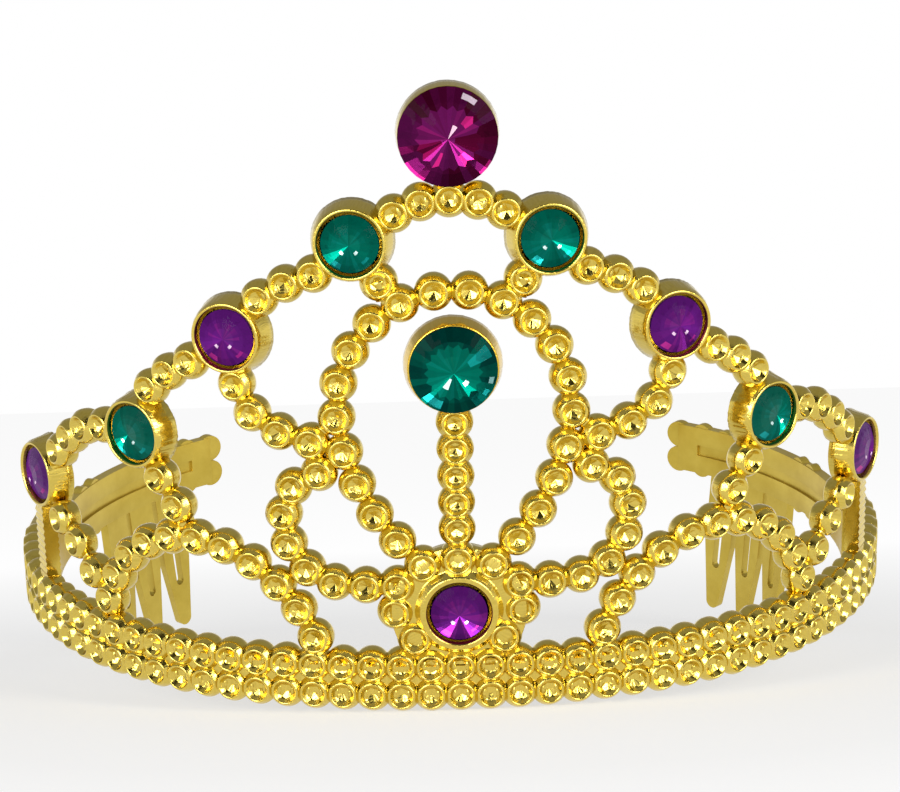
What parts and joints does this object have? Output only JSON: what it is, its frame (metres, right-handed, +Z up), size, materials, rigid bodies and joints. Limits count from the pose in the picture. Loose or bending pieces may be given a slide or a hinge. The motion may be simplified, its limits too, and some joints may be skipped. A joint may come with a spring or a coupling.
{
  "type": "costume crown",
  "caption": "Moulded costume tiara of openwork beaded chains with round cut stones and a toothed comb at each end.",
  "frame": {"origin": "centre of the footprint, on the surface that the crown stands on", "axes": "+Z up, -Y towards the front of the crown, +X towards its left side as worn"},
  "size_m": [0.1542, 0.1437, 0.0955],
  "materials": {
    "gold": "metallised, glossy",
    "dull_gold": "metallised, dull",
    "magenta": "faceted, foil-backed",
    "green": "faceted, foil-backed",
    "purple": "faceted, foil-backed"
  },
  "bodies": {
    "root": {"frame": "gold", "comb_left": "dull_gold", "comb_right": "dull_gold", "top_stone": "magenta", "centre_stone": "green", "base_stone": "purple", "left_stone_1": "green", "left_stone_2": "purple", "left_stone_3": "green", "left_stone_4": "purple", "right_stone_1": "green", "right_stone_2": "purple", "right_stone_3": "green", "right_stone_4": "purple"}
  },
  "joints": []
}
